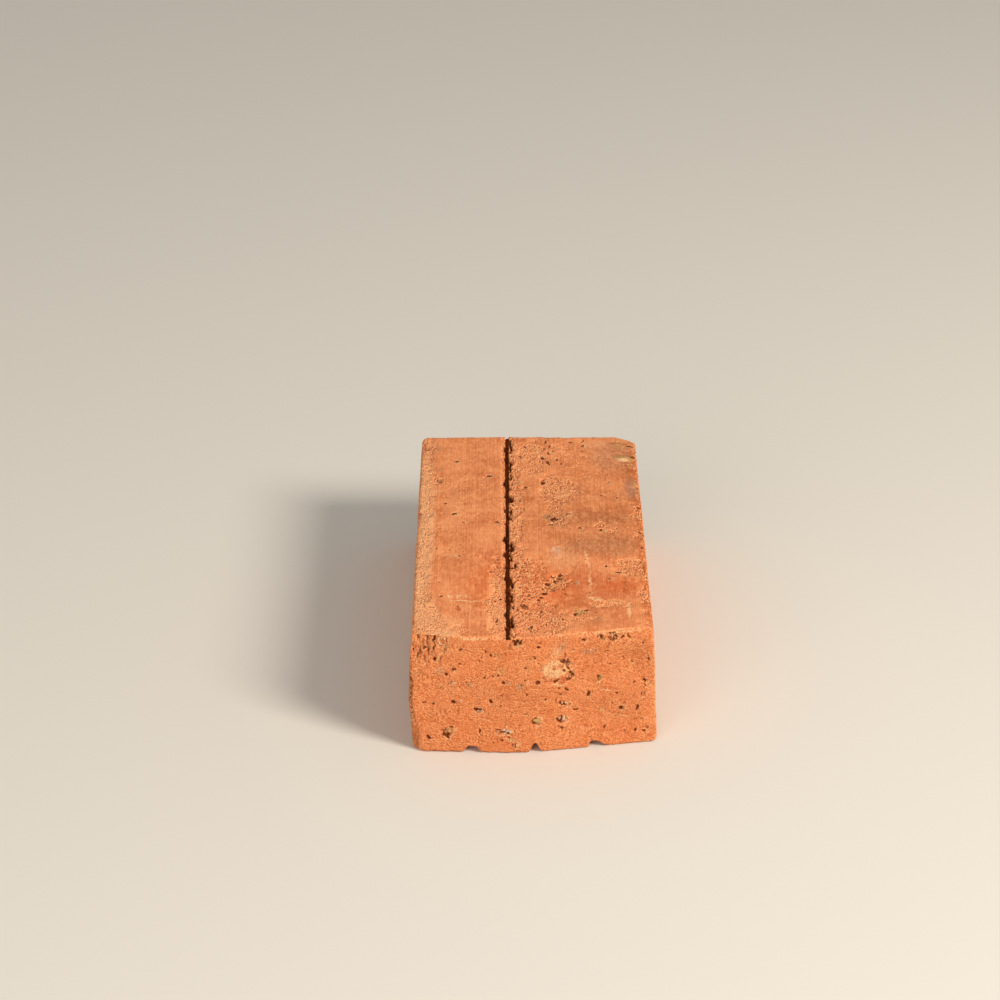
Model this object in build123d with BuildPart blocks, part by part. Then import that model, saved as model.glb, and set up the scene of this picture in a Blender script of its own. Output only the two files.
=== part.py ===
from build123d import *

import os
from math import cos, radians

# Reclaimed clay brick, thin paving format, solid. A column of stiff clay leaves the die with sides that lean in,
# three keys along its underside and a slot along its top. Wires cut it into bricks, which are dried and fired.
# Millimetres. +Y runs along the brick, away from its front end, and +Z is up. The origin is the middle of the
# underside.

# Overall size, with the width measured on the underside
length = 222.0
width = 111.0
height = 57.0

# Sides, as the angle in degrees that each leans in towards the top
side_lean = 2.5

# Front end, seen from above: the cutting wire bowed, so two nearly flat faces lean back from a soft nose.
# The back end is cut square.
nose_x = -9.0
nose_radius = 70.0
lean_left = 2.5
lean_right = 11.0

# Upright edges, each worn by a different amount
front_left_radius = 3.0
front_right_radius = 2.0
back_left_radius = 5.0
back_right_radius = 8.0

# Wear round the top and the bottom
top_wear_radius = 2.0
bottom_wear_radius = 1.2

# Slot along the top. The cutting wire smeared it shut at the front end and filled it partly at the back end.
slot_x = -10.4
slot_width = 2.6
slot_depth = 6.0
slot_front_skin = 1.0
slot_back_depth = 1.8
slot_back_ramp = 4.0

# Keys along the underside, each worn in its own way. A row is the width of the foot, the width of the crown, how
# far the crown stands to the right of the foot's middle, the depth and the radius of the crown's corners.
middle_key_x = 1.6
key_pitch = 27.8
left_key = (8.0, 4.4, -0.2, 3.2, 1.6)
middle_key = (5.6, 0.9, -0.4, 4.6, 0.4)
right_key = (8.5, 3.1, -2.3, 3.3, 0.8)

# Broken corners, as bites along X, Y and Z from where the corner's three faces would have met. The lower left one
# lost a short deep piece and a long shallow one.
low_left_bite = (7.5, 9.0, 36.0)
low_left_long_bite = (3.2, 70.0, 40.0)
high_left_bite = (23.0, 5.0, 26.0)
back_right_bite = (15.0, 11.0, 6.0)


def break_corner(corner, outward, bite):
    """Takes a corner off along the plane that meets its three edges at the given bites."""
    facing = Vector(*(sign / reach for sign, reach in zip(outward, bite)))
    first_edge = Vector(corner) - Vector(outward[0] * bite[0], 0, 0)
    split(bisect_by=Plane(origin=first_edge, z_dir=facing), keep=Keep.BOTTOM)


with BuildPart() as brick:
    # Column as it leaves the die
    with BuildSketch(Plane.XZ):
        Trapezoid(width, height, 90 - side_lean, align=(Align.CENTER, Align.MIN))
    extrude(amount=length, both=True)

    # Wire cuts at the two ends, seen from above
    with BuildSketch():
        with BuildLine():
            nose = CenterArc(
                (nose_x, nose_radius - length / 2),
                nose_radius,
                270 - lean_left,
                lean_left + lean_right,
            )
            left_run = (width / 2 + (nose @ 0).X) / cos(radians(lean_left))
            right_run = (width / 2 - (nose @ 1).X) / cos(radians(lean_right))
            left_cut = PolarLine(nose @ 0, left_run, 180 - lean_left)
            right_cut = PolarLine(nose @ 1, right_run, lean_right)
            front_left = left_cut @ 1
            front_right = right_cut @ 1
            back_left = Vector(-width / 2, length / 2)
            back_right = Vector(width / 2, length / 2)
            Polyline(front_left, back_left, back_right, front_right)
        make_face()
    extrude(amount=height, mode=Mode.INTERSECT)

    # Worn edges
    for corner, radius in (
        (front_left, front_left_radius),
        (front_right, front_right_radius),
        (back_left, back_left_radius),
        (back_right, back_right_radius),
    ):
        middle_of_edge = (corner.X, corner.Y, height / 2)
        fillet(brick.edges().sort_by_distance(middle_of_edge)[0], radius)
    fillet(brick.edges().group_by(Axis.Z)[-1], top_wear_radius)
    fillet(brick.edges().group_by(Axis.Z)[0], bottom_wear_radius)

    # Corners lost in use
    for bite in (low_left_bite, low_left_long_bite):
        break_corner((front_left.X, front_left.Y, 0), (-1, -1, -1), bite)
    break_corner((front_left.X, front_left.Y, height), (-1, -1, 1), high_left_bite)
    break_corner((back_right.X, back_right.Y, height), (1, 1, 1), back_right_bite)

    # Keys
    with BuildSketch(Plane.XZ):
        for place, key in enumerate((left_key, middle_key, right_key)):
            middle = middle_key_x + (place - 1) * key_pitch
            foot, crown, shift, depth, radius = key
            with BuildLine():
                section = FilletPolyline(
                    (middle - foot / 2, 0),
                    (middle + shift - crown / 2, depth),
                    (middle + shift + crown / 2, depth),
                    (middle + foot / 2, 0),
                    radius=radius,
                )
                Line(section @ 1, section @ 0)
            make_face()
    extrude(amount=length, both=True, mode=Mode.SUBTRACT)

    # Slot, drawn from the side
    with BuildSketch(Plane.YZ.offset(slot_x)):
        with BuildLine():
            Polyline(
                (slot_front_skin - length / 2, height),
                (slot_front_skin - length / 2, height - slot_depth),
                (length / 2 - slot_back_ramp, height - slot_depth),
                (length / 2, height - slot_back_depth),
                (length / 2, height),
                close=True,
            )
        make_face()
    extrude(amount=slot_width / 2, both=True, mode=Mode.SUBTRACT)

brick.part.label = "brick"
os.makedirs("parts", exist_ok=True)
export_step(brick.part, "parts/brick.step")
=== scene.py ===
from math import atan2, cos, hypot, radians, sin, tan

import bpy
import numpy as np
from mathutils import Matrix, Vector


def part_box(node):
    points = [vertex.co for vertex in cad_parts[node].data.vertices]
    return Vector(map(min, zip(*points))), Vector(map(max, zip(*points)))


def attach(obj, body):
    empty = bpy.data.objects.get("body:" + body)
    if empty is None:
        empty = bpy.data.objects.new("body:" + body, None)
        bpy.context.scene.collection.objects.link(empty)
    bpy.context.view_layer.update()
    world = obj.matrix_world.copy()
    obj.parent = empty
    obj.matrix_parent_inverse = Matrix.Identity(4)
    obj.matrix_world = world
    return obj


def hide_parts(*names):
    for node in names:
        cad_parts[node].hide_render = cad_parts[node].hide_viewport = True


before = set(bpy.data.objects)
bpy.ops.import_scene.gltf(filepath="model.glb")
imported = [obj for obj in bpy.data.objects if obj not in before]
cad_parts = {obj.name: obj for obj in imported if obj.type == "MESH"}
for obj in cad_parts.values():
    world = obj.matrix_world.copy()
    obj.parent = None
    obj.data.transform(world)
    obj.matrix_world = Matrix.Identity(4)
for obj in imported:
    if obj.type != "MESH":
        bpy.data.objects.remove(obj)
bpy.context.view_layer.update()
bpy.context.scene.view_settings.view_transform = "Standard"

# Camera: a long lens, which looks down on the front end and the top from about a metre and a half away
bpy.ops.object.camera_add(location=(-0.0148, -1.3104, 0.6705), rotation=(radians(65.466), 0, radians(-0.03)))
camera = bpy.context.object
camera.name = "camera"
camera.data.lens = 112
camera.data.sensor_width = 36
bpy.context.scene.camera = camera

# Floor: a plain pale surface for the brick to lie on. It runs far past the edges of the picture, so that
# only the brick's shadow marks it.


def srgb(red, green, blue):
    """A colour given as 0 to 255 on the screen, as the shader wants it."""
    shares = (red / 255, green / 255, blue / 255)
    return tuple(part / 12.92 if part < 0.04045 else ((part + 0.055) / 1.055) ** 2.4 for part in shares)


bpy.ops.object.select_all(action="DESELECT")
bpy.ops.mesh.primitive_circle_add(vertices=96, radius=9, fill_type="NGON", location=(0, 0, 0))
floor = bpy.context.object
floor.name = "floor"
floor_paint = bpy.data.materials.new("pale_floor")
floor_paint.use_nodes = True
floor_surface = floor_paint.node_tree.nodes["Principled BSDF"]
floor_surface.inputs["Base Color"].default_value = (*srgb(214, 205, 190), 1)
floor_surface.inputs["Roughness"].default_value = 0.9
floor.data.materials.append(floor_paint)

# Light: a lamp to the right and in front, as by a window, a broader and weaker one low in front, and an
# even glow from all round. Both lamps face the brick.
for name, place, size, power, light_colour in (
    ("window_light", (1.55, -1.25, 1.34), 0.8, 62, (1.0, 0.97, 0.93)),
    ("soft_light", (-0.9, -2.2, 0.8), 1.8, 27, (1.0, 1.0, 1.0)),
):
    bpy.ops.object.light_add(type="AREA", location=place)
    lamp = bpy.context.object
    lamp.name = name
    lamp.data.shape = "DISK"
    lamp.data.size = size
    lamp.data.energy = power
    lamp.data.color = light_colour
    lamp.rotation_euler = (atan2(hypot(place[0], place[1]), place[2]), 0, atan2(place[0], -place[1]))
world = bpy.data.worlds.new("even_glow")
bpy.context.scene.world = world
world.use_nodes = True
tree = world.node_tree


def add(kind, *inputs, out=0, **settings):
    """Adds a node to the tree in hand. Its inputs are values or other nodes' outputs, in order."""
    new = tree.nodes.new("ShaderNode" + kind)
    for name, value in settings.items():
        setattr(new, name, value)
    for place, value in enumerate(inputs):
        if isinstance(value, bpy.types.NodeSocket):
            tree.links.new(value, new.inputs[place])
        elif value is not None:
            new.inputs[place].default_value = value
    return new.outputs[out]


glow = tree.nodes["Background"]
glow.inputs["Color"].default_value = (0.95, 0.97, 1.0, 1)
glow.inputs["Strength"].default_value = 0.42
backdrop = add("Background", (*srgb(236, 230, 220), 1), 1.0)
rays = add("LightPath").node
shown = add("Math", rays.outputs["Is Camera Ray"], rays.outputs["Is Glossy Ray"], operation="MAXIMUM")
shown = add("Math", shown, rays.outputs["Is Transmission Ray"], operation="MAXIMUM")
either = add("MixShader", shown, glow.outputs[0], backdrop)
tree.links.new(either, tree.nodes["World Output"].inputs["Surface"])

# Brick: stiff clay squeezed through a die, cut off by wires, dried, fired, walked on and dug up again. The die
# leaves a skin with fine lines along the brick, the wires drag grit across both ends, and the skin has torn
# away in patches. A copy of the solid gets a fine even grid of faces, so that its surface can be worked.
mm = 0.001
grid_size = 0.45
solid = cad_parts["brick"]
bpy.ops.object.select_all(action="DESELECT")
brick = bpy.data.objects.new("worn_brick", solid.data.copy())
bpy.context.collection.objects.link(brick)
brick.select_set(True)
bpy.context.view_layer.objects.active = brick
bpy.ops.object.mode_set(mode="EDIT")
bpy.ops.mesh.select_all(action="SELECT")
bpy.ops.mesh.remove_doubles(threshold=0.001 * mm)
bpy.ops.object.mode_set(mode="OBJECT")
grid = brick.modifiers.new("fine grid", "REMESH")
grid.mode = "VOXEL"
grid.voxel_size = grid_size * mm
bpy.ops.object.modifier_apply(modifier=grid.name)

# Every point of the grid in millimetres, the way it faces, and how deep it lies below each face of the
# block. The two wire cuts of the front end lean back from the nose.
points = np.empty(3 * len(brick.data.vertices), np.float32)
outward = np.empty_like(points)
brick.data.vertices.foreach_get("co", points)
brick.data.vertices.foreach_get("normal", outward)
points = points.reshape(-1, 3).astype(float) / mm
outward = outward.reshape(-1, 3).astype(float)
x, y, z = points.T
half_width = 55.5
half_length = 111.0
full_height = 57.0
side_lean = tan(radians(2.5))
nose_x = -9.0
left_cut_y = -111.1
left_cut_lean = tan(radians(2.5))
right_cut_y = -112.3
right_cut_lean = tan(radians(11))
front_line = np.maximum(-half_length, np.where(
    x < nose_x,
    left_cut_y + (nose_x - x) * left_cut_lean,
    right_cut_y + (x - nose_x) * right_cut_lean,
))
below = {
    "front": y - front_line,
    "back": half_length - y,
    "left": x + half_width - z * side_lean,
    "right": half_width - z * side_lean - x,
    "top": full_height - z,
    "underside": z,
}
facing = {
    "front": -outward[:, 1],
    "back": outward[:, 1],
    "left": -outward[:, 0],
    "right": outward[:, 0],
    "top": outward[:, 2],
    "underside": -outward[:, 2],
}
flat = {"front": (0, 2), "back": (0, 2), "left": (1, 2), "right": (1, 2), "top": (0, 1), "underside": (0, 1)}
deepest_mark = 5.5
least_facing = 0.35
near = {face: np.flatnonzero((below[face] < deepest_mark) & (facing[face] > least_facing)) for face in flat}
lattice = np.random.default_rng(57).uniform(-1, 1, 8192)


def ripple(size, seed, stretch=(1, 1, 1)):
    """Smooth noise from -1 to 1 at every point, in swellings of about the given size."""
    cell = points / (size * np.array(stretch)) + 17.3 * seed
    corner = np.floor(cell).astype(np.int64)
    part = cell - corner
    part = part * part * (3 - 2 * part)
    primes = (73856093, 19349663, 83492791)
    keys = [[(corner[:, axis] + step) * primes[axis] for step in (0, 1)] for axis in range(3)]
    shares = [[1 - part[:, axis], part[:, axis]] for axis in range(3)]
    total = np.zeros(len(points))
    for i, j, k in np.ndindex(2, 2, 2):
        weight = shares[0][i] * shares[1][j] * shares[2][k]
        total += weight * lattice[(keys[0][i] ^ keys[1][j] ^ keys[2][k]) % lattice.size]
    return total


def rise(value, low, high):
    """A soft step from 0 at low to 1 at high."""
    part = np.clip((value - low) / (high - low), 0, 1)
    return part * part * (3 - 2 * part)


# What the surface has at each point: how far it is sunk, by marks and otherwise, how much of it is torn,
# worn pale or a hollow painted dark with dirt and painted shade, a tint over the clay with its strength, and
# whether it keeps its fine grid. Marks are placed on points that stray a little from their own place, which
# makes every rim ragged.
sunk = np.zeros(len(points))
pitted = np.zeros(len(points))
torn = np.zeros(len(points))
worn = np.zeros(len(points))
hollow_dirt_and_shade = np.zeros(len(points))
tint = np.zeros((len(points), 4))
keep = np.zeros(len(points), bool)
small_mark = 2.4
large_mark = 4.0
mark_reach = 1.7
broken_up = rise(ripple(1.1, 41) + 0.6 * ripple(0.8, 42), -0.2, 0.12)
cut = rise(np.maximum(facing["front"], facing["back"]), 0.55, 0.8)
broad_waves, waves, fine_waves = (
    np.stack([ripple(size, seed) for seed in seeds], axis=1)
    for size, seeds in ((6, (4, 5, 6)), (1.7, (1, 2, 3)), (0.9, (7, 8, 9)))
)
ragged = points + 0.3 * broad_waves + 0.6 * waves + 0.4 * fine_waves
straying = points + 3.4 * broad_waves + 1.5 * waves
local = {face: ragged[near[face]][:, flat[face]] for face in flat}
loose = {face: straying[near[face]][:, flat[face]] for face in flat}


def spread(face, middle, half, turn=0.0, places=local):
    """Points near a mark on a face, and where they lie in it: across and up, each 1 at the mark's rim."""
    away = places[face] - middle
    inside = np.flatnonzero(np.abs(away).max(axis=1) < mark_reach * max(half))
    away = away[inside]
    turn = radians(turn)
    across = (away[:, 0] * cos(turn) + away[:, 1] * sin(turn)) / half[0]
    up = (away[:, 1] * cos(turn) - away[:, 0] * sin(turn)) / half[1]
    picked = near[face][inside]
    if min(half) < small_mark:
        keep[picked[np.hypot(across, up) < 1.25]] = True
    return picked, across, up


def paint(picked, amount, colour):
    """Lays a colour over the clay at the picked points."""
    under = tint[picked, 3]
    total = amount + under * (1 - amount)
    share = (amount / np.maximum(total, 1e-6))[:, None]
    tint[picked, :3] = tint[picked, :3] * (1 - share) + np.array(colour) * share
    tint[picked, 3] = total


def pit(face, middle, half, depth, turn=0.0, stone=None):
    """A pit with a ragged rim, painted darker the deeper it is, as dirt and painted shade, and worn down to
    half its depth on the top. What is left of a stone lies in pieces in its right part, and a small pit has a
    pale rim on the lower right, which is a painted highlight.
    """
    picked, across, up = spread(face, middle, half, turn)
    from_middle = np.hypot(across, up)
    bowl = rise(from_middle, 1.15, 0.6)
    left_over = np.zeros(len(picked))
    if stone is not None:
        left_over = rise(np.hypot((across - 0.35) / 0.75, (up - 0.1) / 0.85), 1.1, 0.8) * broken_up[picked]
        paint(picked, left_over, stone)
    depth_left = depth * (0.5 if face == "top" else 1)
    pitted[picked] = np.maximum(pitted[picked], depth_left * (bowl - 0.7 * left_over))
    hollow_dirt_and_shade[picked] = np.maximum(hollow_dirt_and_shade[picked], rise(depth, -0.15, 0.6) * bowl * (1 - left_over))
    # Painted highlight: a cream rim on the lower right of a small pit, where its wall catches the light
    ring = rise(from_middle, 1.6, 1.25) * rise(from_middle, 1.0, 1.2)
    highlight_side = rise(across - up, -0.3, 0.8) * rise(depth, 0.25, 0.6)
    paint(picked, 0.75 * ring * highlight_side * (max(half) < large_mark), cream)


def lump(face, middle, half, height, colour, strength):
    """Something hard that stands in a pit, with a mottled colour."""
    picked, across, up = spread(face, middle, half)
    body = rise(np.hypot(across, up), 1.05, 0.75)
    pitted[picked] -= height * body * (0.6 + 0.4 * broken_up[picked])
    hollow_dirt_and_shade[picked] *= 1 - body
    paint(picked, strength * body * (0.55 + 0.45 * broken_up[picked]), colour)


def smear(face, middle, half, colour, strength, turn=0.0):
    """A stain or a pale mark that fades towards its rim."""
    picked, across, up = spread(face, middle, half, turn)
    paint(picked, strength * rise(np.hypot(across, up), 1.15, 0.5), colour)


def scratch(face, start, end, half_of_line, depth, colour, strength, crumbly=0.0):
    """A thin mark from start to end, sunk or raised, which may be crumbly."""
    run = (end[0] - start[0], end[1] - start[1])
    middle = ((start[0] + end[0]) / 2, (start[1] + end[1]) / 2)
    turn = atan2(run[1], run[0]) * 180 / np.pi
    picked, across, up = spread(face, middle, (hypot(*run) / 2, half_of_line), turn)
    gaps = 0.5 * (crumbly > 0) * (1 - broken_up[picked])
    line = rise(np.hypot(across, up), 1.1, 0.3) * (1 - gaps)
    pitted[picked] = np.maximum(pitted[picked], depth * line)
    worn[picked] = np.maximum(worn[picked], crumbly * line)
    torn[picked] = np.maximum(torn[picked], 0.8 * crumbly * line)
    paint(picked, strength * line, colour)


def tear(face, middle, half, amount, turn=0.0):
    """A patch where the skin of the clay has torn away."""
    picked, across, up = spread(face, middle, half, turn, loose)
    torn[picked] = np.maximum(torn[picked], amount * rise(np.hypot(across, up), 1.35, 0.6))


# Colours of the marks
crumb = srgb(228, 150, 93)
pale = srgb(240, 186, 131)
white = srgb(219, 203, 180)
grey = srgb(161, 142, 118)
straw = srgb(198, 163, 99)
cream = srgb(244, 195, 139)
ember = srgb(240, 135, 80)
deep_orange = srgb(207, 99, 44)
red = srgb(188, 87, 48)
brown = srgb(159, 84, 40)
plum = srgb(152, 87, 68)
soot = srgb(134, 95, 63)
olive = srgb(161, 125, 68)
umber = srgb(179, 95, 17)
peach = srgb(252, 162, 104)
bright_peach = srgb(255, 190, 134)
dark_clay = srgb(112, 46, 18)

# Front end: pits where the wire pulled grit out. A row is x, z, half the width and height, depth, turn and
# the colour of the stone.
for x_mid, z_mid, half_x, half_z, depth, turn, stone in (
    (-17.5, 48.2, 1.5, 1.3, 1.0, 0, crumb),
    (-31.0, 51.2, 1.2, 1.0, 0.4, 0, crumb),
    (-32.0, 44.0, 0.6, 0.5, 0.4, 0, None),
    (-29.5, 43.5, 0.5, 0.5, 0.4, 0, None),
    (-22.0, 47.4, 1.1, 1.0, 0.4, 0, crumb),
    (-37.5, 39.0, 1.1, 0.8, 0.5, 0, crumb),
    (-21.0, 37.8, 0.5, 1.1, 0.5, 0, None),
    (-17.6, 37.9, 0.4, 1.0, 0.4, 0, None),
    (-15.8, 37.6, 0.4, 0.4, 0.3, 0, None),
    (-32.0, 32.6, 1.0, 0.4, 0.3, -10, None),
    (-43.6, 28.0, 0.4, 0.4, 0.4, 0, None),
    (-40.4, 21.6, 0.4, 0.3, 0.4, 0, None),
    (-40.4, 19.6, 0.4, 0.4, 0.4, 0, None),
    (-34.8, 25.0, 1.4, 0.8, 0.8, -25, None),
    (-25.2, 28.0, 0.9, 0.7, 0.3, 0, crumb),
    (-24.2, 21.6, 2.2, 1.1, 0.9, 0, grey),
    (-18.4, 25.8, 0.8, 1.1, 0.8, -20, None),
    (-20.9, 21.7, 0.5, 0.4, 0.4, 0, None),
    (-12.2, 18.2, 0.4, 0.3, 0.4, 0, None),
    (-2.8, 19.3, 0.9, 0.6, 0.5, -20, None),
    (-1.6, 18.7, 0.5, 0.4, 0.5, 0, None),
    (-2.6, 35.8, 1.1, 1.0, 0.7, -30, crumb),
    (3.0, 34.8, 1.7, 1.1, 0.5, 25, crumb),
    (-5.0, 33.8, 0.8, 0.5, 0.5, -30, None),
    (-4.4, 32.6, 0.5, 0.5, 0.4, 0, None),
    (-10.4, 35.4, 0.5, 0.5, 0.3, 0, None),
    (-2.6, 29.4, 0.5, 1.0, 0.5, 0, None),
    (2.4, 52.0, 1.2, 0.7, 0.8, -20, None),
    (2.9, 54.4, 0.6, 0.6, 0.5, 0, None),
    (1.1, 46.8, 0.5, 1.2, 0.5, 0, None),
    (0.4, 48.2, 0.4, 0.5, 0.3, 0, None),
    (14.0, 23.6, 2.7, 1.4, 1.2, -8, pale),
    (13.2, 15.6, 2.6, 1.9, 1.2, 0, white),
    (1.6, 15.3, 2.3, 2.0, 0.7, 30, straw),
    (-5.7, 14.4, 0.5, 0.5, 0.4, 0, None),
    (-13.2, 11.0, 3.4, 1.5, 1.0, 8, white),
    (-10.6, 10.3, 0.9, 0.9, 0.9, 0, None),
    (-9.3, 7.4, 1.6, 0.8, 0.8, -50, straw),
    (-37.2, 10.2, 2.9, 1.9, 1.2, 28, straw),
    (-35.2, 12.4, 1.1, 0.8, 0.8, 0, None),
    (-37.6, 8.4, 2.1, 0.6, 1.1, -35, None),
    (-23.8, 13.8, 0.5, 0.6, 0.4, 0, None),
    (-23.3, 10.8, 0.6, 1.4, 0.7, 0, None),
    (29.1, 34.2, 0.9, 1.5, 0.6, 0, olive),
    (27.9, 41.9, 0.7, 0.5, 0.5, -20, None),
    (23.2, 47.6, 0.4, 1.0, 0.4, 0, None),
    (33.2, 47.5, 0.7, 0.4, 0.4, 0, None),
    (50.4, 30.0, 1.3, 1.9, 0.5, 0, crumb),
    (48.7, 25.0, 1.4, 1.2, 0.9, 0, crumb),
    (39.6, 18.7, 1.5, 1.3, 0.9, 0, crumb),
    (40.7, 21.4, 0.6, 0.5, 0.5, 0, None),
    (46.2, 18.4, 0.5, 1.9, 0.5, -15, None),
    (41.5, 15.0, 0.4, 0.7, 0.4, 0, None),
    (51.0, 8.2, 1.1, 0.8, 0.8, -20, crumb),
    (30.1, 18.5, 1.1, 1.0, 0.3, 0, pale),
    (32.0, 10.0, 0.6, 1.1, 0.4, 0, brown),
    (25.1, 5.4, 0.5, 0.4, 0.4, 0, None),
    (45.0, 3.0, 0.5, 0.4, 0.4, 0, None),
    (32.5, 29.0, 0.6, 0.4, 0.5, -20, None),
    (34.6, 27.8, 0.5, 0.4, 0.4, -20, None),
    (37.1, 26.2, 0.9, 0.5, 0.6, -20, None),
    (22.0, 23.0, 0.4, 0.3, 0.3, 0, None),
    (30.0, 54.9, 0.8, 1.3, 1.0, 25, None),
    (30.8, 53.7, 1.9, 0.6, 0.9, -20, olive),
    (28.4, 54.6, 0.6, 0.5, 0.6, 0, None),
    (33.9, 56.0, 1.1, 0.9, 0.8, 0, plum),
    (36.2, 55.9, 1.2, 0.9, 0.8, -30, plum),
    (34.1, 53.9, 0.9, 1.2, 0.9, 20, plum),
    (36.3, 53.8, 1.3, 1.1, 0.7, 30, brown),
    (35.0, 52.4, 1.4, 0.6, 0.6, 0, crumb),
    (38.2, 55.2, 0.8, 0.6, 0.4, 0, brown),
    (39.2, 53.9, 0.4, 1.2, 0.6, -35, None),
    (42.3, 54.0, 0.5, 1.7, 0.7, 25, None),
    (46.9, 52.6, 0.5, 0.8, 0.4, 20, None),
    (-8.4, 56.2, 0.7, 1.4, 1.1, 25, None),
    (-6.8, 55.6, 0.6, 1.8, 1.2, 15, None),
    (-6.2, 53.6, 0.8, 1.0, 0.9, 0, crumb),
    (-5.0, 55.6, 0.5, 1.1, 0.8, 0, None),
    (-9.4, 54.6, 0.6, 0.7, 0.6, 0, None),
    (-7.2, 54.8, 1.1, 1.7, 1.4, 15, None),
    (-5.2, 54.6, 0.8, 1.4, 1.2, 20, None),
    (-8.2, 53.2, 0.5, 0.5, 0.5, 0, crumb),
    (52.0, 41.7, 0.5, 0.4, 0.4, 0, None),
    (44.7, 41.6, 0.3, 0.9, 0.4, 0, None),
    (47.9, 49.9, 0.4, 0.8, 0.4, 0, None),
    (13.7, 55.0, 0.8, 1.2, 0.5, 0, crumb),
    (11.4, 55.8, 0.5, 0.5, 0.5, 0, None),
    (13.0, 51.2, 0.4, 1.2, 0.3, 0, None),
    (-47.3, 32.9, 1.1, 1.3, 0.2, 0, pale),
    (28.4, 35.2, 0.6, 0.6, 0.6, 0, None),
    (-39.4, 9.0, 0.8, 0.6, 0.9, -35, None),
):
    pit("front", (x_mid, z_mid), (half_x, half_z), depth, turn, stone)

# Front end: stones that still stand in their pits
for x_mid, z_mid, half_x, half_z, height, colour in (
    (-36.4, 11.0, 2.0, 1.3, 0.4, straw),
    (-37.8, 9.6, 0.8, 0.5, 0.2, olive),
    (-11.9, 11.6, 1.5, 0.8, 0.4, white),
    (-13.8, 11.0, 0.7, 0.7, 0.3, crumb),
    (-15.0, 10.4, 0.9, 0.7, 0.3, grey),
    (12.1, 16.3, 0.9, 0.7, 0.3, grey),
    (14.1, 15.2, 1.0, 0.9, 0.4, white),
    (15.3, 16.2, 0.8, 0.5, 0.2, straw),
    (15.2, 23.4, 1.3, 0.7, 0.4, straw),
    (2.2, 15.8, 1.2, 0.7, 0.3, straw),
):
    lump("front", (x_mid, z_mid), (half_x, half_z), height, colour, 1.0)

# Front end: a lump of lime-rich clay, cream with two red specks and a burnt lower rim. A crumbling gap runs
# down its right side.
pit("front", (11.2, 40.6), (5.6, 5.4), 0.5)
for x_mid, z_mid, half_x, half_z, height, colour, strength in (
    (10.6, 39.4, 5.9, 5.6, 0.5, crumb, 0.5),
    (9.0, 40.9, 4.6, 4.7, 0.3, cream, 1.0),
    (12.8, 40.0, 2.7, 2.8, 0.0, pale, 0.6),
    (10.6, 35.3, 5.6, 1.6, -0.2, red, 0.9),
    (9.6, 41.3, 1.3, 1.2, -0.2, red, 1.0),
    (12.3, 41.8, 1.3, 1.2, -0.2, red, 1.0),
):
    lump("front", (x_mid, z_mid), (half_x, half_z), height, colour, strength)
for x_mid, z_mid, half_x, half_z, turn in (
    (13.6, 44.0, 1.1, 1.5, 30),
    (15.3, 41.4, 0.9, 2.0, 30),
    (17.0, 38.0, 0.6, 2.2, 30),
    (14.4, 47.0, 0.4, 1.4, 40),
    (11.0, 35.6, 0.5, 0.5, 0),
    (5.6, 36.4, 0.9, 0.5, 0),
    (13.6, 33.0, 0.5, 0.5, 0),
):
    pit("front", (x_mid, z_mid), (half_x, half_z), 0.8, turn, red)
crumbling = np.random.default_rng(12)
for _ in range(34):
    bearing = radians(crumbling.uniform(-48, 58))
    reach = crumbling.uniform(5.6, 7.6)
    middle = (10.2 + reach * cos(bearing), 39.6 + 0.95 * reach * sin(bearing))
    half = crumbling.uniform(0.3, 0.65, 2)
    pit("front", middle, half, 0.55, 30, (None, red, crumb)[crumbling.integers(3)])

# Front end, upper left corner: upright furrows, a deep gap, a ring round a pebble, and ridges beside a crack
corner, across, up = spread("front", (-48.0, 51.0), (5.4, 8.0))
in_corner = rise(np.hypot(across, up), 1.15, 0.6)
furrows = ripple(0.85, 51, (1, 1, 6))[corner] + 0.6 * ripple(0.8, 52, (1, 1, 2.4))[corner]
pitted[corner] = np.maximum(pitted[corner], in_corner * (0.35 + 0.6 * furrows))
# The furrows are painted darker inside: dirt and painted shade
hollow_dirt_and_shade[corner] = np.maximum(hollow_dirt_and_shade[corner], 0.8 * in_corner * rise(furrows, 0.1, 0.6))
worn[corner] = np.maximum(worn[corner], in_corner * rise(furrows, 0.0, -0.4))
paint(corner, 0.25 * in_corner, brown)
keep[corner[in_corner > 0.1]] = True
pit("front", (-43.2, 55.6), (0.8, 2.2), 0.9, 4)
pit("front", (-42.8, 51.6), (0.6, 2.6), 0.9, -4)
pit("front", (-39.6, 54.6), (2.5, 2.5), 0.5)
lump("front", (-39.5, 54.8), (2.1, 2.2), 0.6, pale, 1.0)
lump("front", (-39.2, 54.6), (1.2, 1.2), -0.4, red, 1.0)
lump("front", (-39.4, 54.8), (0.5, 0.5), 0.2, pale, 0.8)
pit("front", (-52.2, 49.4), (0.6, 1.3), 0.7)
pit("front", (-42.6, 45.8), (1.0, 0.8), 0.9, -20)
pit("front", (-50.5, 31.9), (1.3, 1.4), 0.4)
lump("front", (-50.6, 32.0), (0.9, 1.0), 0.35, crumb, 0.7)
for corners, half_of_line, depth, colour, strength in (
    (((-37.2, 56.6), (-38.0, 53.0), (-39.4, 48.2), (-41.0, 43.8)), 0.45, 0.8, brown, 0.8),
    # The pale on the ridge beside the crack is a painted highlight as well as a raised ridge
    (((-38.2, 54.0), (-39.0, 51.0), (-40.3, 47.6), (-41.6, 44.6)), 0.5, -0.35, pale, 0.8),
    (((-43.6, 47.8), (-46.6, 45.4), (-48.2, 41.4)), 0.7, -0.3, pale, 0.7),
    (((-51.0, 49.0), (-50.8, 43.0), (-51.6, 36.0)), 0.45, -0.2, pale, 0.6),
    (((-52.0, 35.4), (-49.0, 36.6), (-46.0, 34.0)), 0.4, -0.1, pale, 0.5),
):
    for start, end in zip(corners, corners[1:]):
        scratch("front", start, end, half_of_line, depth, colour, strength)
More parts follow.
